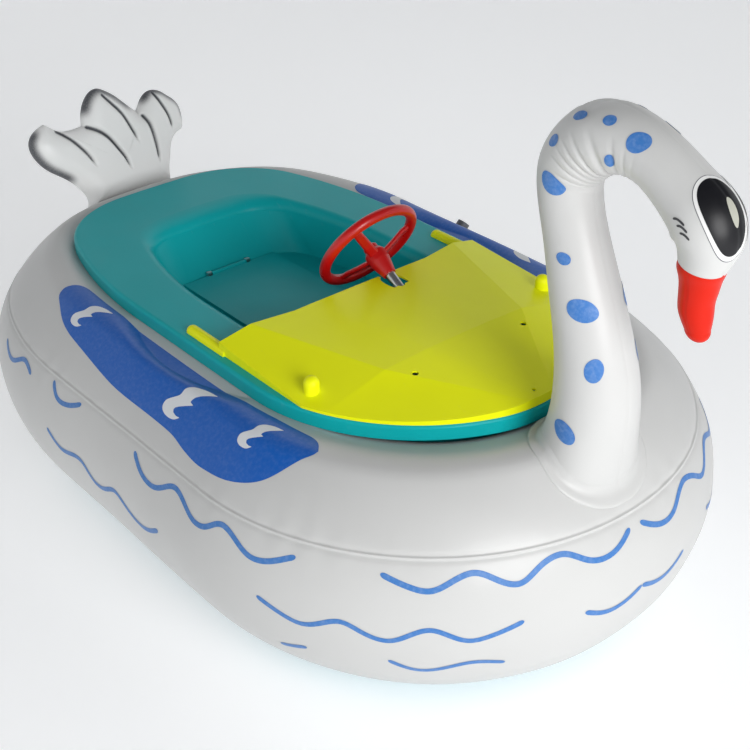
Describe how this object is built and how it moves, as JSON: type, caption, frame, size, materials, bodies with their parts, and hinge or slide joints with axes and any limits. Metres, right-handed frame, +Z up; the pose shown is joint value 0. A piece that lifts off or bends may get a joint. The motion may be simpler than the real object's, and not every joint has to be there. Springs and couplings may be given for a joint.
{
  "type": "bumper boat",
  "caption": "Electric bumper boat: inflated ring with a swan's neck and tail round a moulded cockpit with hood, wheel and steerable thruster.",
  "frame": {"origin": "on the ground under the middle of the ring", "axes": "+X to the bow, +Y to port, +Z up"},
  "size_m": [2.0603, 1.208, 1.1932],
  "materials": {
    "pvc_white": "satin coated fabric",
    "pvc_beak": "satin coated fabric",
    "tub": "gel coat",
    "hood": "gel coat",
    "red_plastic": "moulded",
    "black_plastic": "moulded",
    "grey_plastic": "moulded",
    "white_plastic": "moulded",
    "steel": "stainless",
    "aluminium": "cast",
    "bronze": "plain bearing",
    "painted": "satin",
    "cable": "sheath",
    "webbing": "woven"
  },
  "bodies": {
    "hull": {"ring_tube": "pvc_white", "swan_neck": "pvc_white", "beak": "pvc_beak", "swan_tail": "pvc_white", "cockpit_tub": "tub", "hood": "hood", "hood_screws": "steel", "lid_hinge": "steel", "battery": "black_plastic", "battery_terminals": "bronze", "battery_strap": "webbing", "controller_box": "grey_plastic", "battery_lead": "cable", "motor_lead": "cable", "rear_column_bush": "bronze", "front_column_bush": "bronze", "gear_frame": "aluminium", "frame_bolts": "steel", "idler_post": "steel", "idler_nut": "steel", "stem_housing": "aluminium", "stem_bushes": "bronze", "stem_seal": "cable", "housing_bolts": "steel", "pedal_base": "aluminium", "pedal_pin": "steel", "pedal_spring": "steel", "ring_valve": "grey_plastic", "neck_valve": "grey_plastic", "tail_valve": "grey_plastic"},
    "wheel": {"steering_wheel": "red_plastic", "wheel_cap": "red_plastic", "wheel_nut": "steel", "steering_column": "steel", "column_pinion": "steel"},
    "idler": {"idler_bush": "bronze", "idler_bevel": "steel", "idler_gear": "steel"},
    "thruster": {"stem_gear": "steel", "thruster_stem": "steel", "stem_nut": "steel", "thruster_leg": "painted", "pod_housing": "painted", "pod_nose": "painted", "motor_core": "steel", "shaft_seal": "cable", "propeller_guard": "black_plastic"},
    "screw": {"propeller_shaft": "steel", "propeller": "white_plastic", "propeller_nut": "steel"},
    "lid": {"seat_lid": "tub"},
    "pedal": {"foot_pedal": "black_plastic"},
    "valve_cap": {"ring_valve_cap": "grey_plastic"},
    "plug": {"drain_plug": "black_plastic"}
  },
  "joints": [
    {"name": "wheel_turn", "type": "hinge", "parent": "hull", "child": "wheel", "pos_m": [0.081, 0.0604, 0.652], "axis": [-0.8554, 0, 0.518], "range_deg": [-180, 180]},
    {"name": "idler_turn", "type": "hinge", "parent": "hull", "child": "idler", "pos_m": [0.33, 0.0604, 0.4], "axis": [0, 0, 1], "range_deg": [-180, 180]},
    {"name": "thruster_turn", "type": "hinge", "parent": "hull", "child": "thruster", "pos_m": [0.33, 0, 0.3], "axis": [0, 0, 1], "range_deg": [-180, 180]},
    {"name": "propeller_spin", "type": "hinge", "parent": "thruster", "child": "screw", "pos_m": [0.33, 0, 0.1], "axis": [1, 0, 0], "continuous": true},
    {"name": "lid_swing", "type": "hinge", "parent": "hull", "child": "lid", "pos_m": [-0.403, 0, 0.438], "axis": [0, -1, 0], "range_deg": [0, 80]},
    {"name": "pedal_press", "type": "hinge", "parent": "hull", "child": "pedal", "pos_m": [0.055, -0.07, 0.033], "axis": [0, 1, 0], "range_deg": [0, 15], "stiffness_Nm_per_rad": 6, "springref_deg": -17.19},
    {"name": "valve_cap_pull", "type": "slide", "parent": "hull", "child": "valve_cap", "axis": [0, 0.7071, 0.7071], "range_m": [0, 0.02]},
    {"name": "drain_plug_pull", "type": "slide", "parent": "hull", "child": "plug", "axis": [0, 0, 1], "range_m": [0, 0.03]}
  ],
  "couplings": [
    {"joint": "wheel_turn", "follows": "thruster_turn", "ratio": 1},
    {"joint": "idler_turn", "follows": "thruster_turn", "ratio": -1}
  ]
}
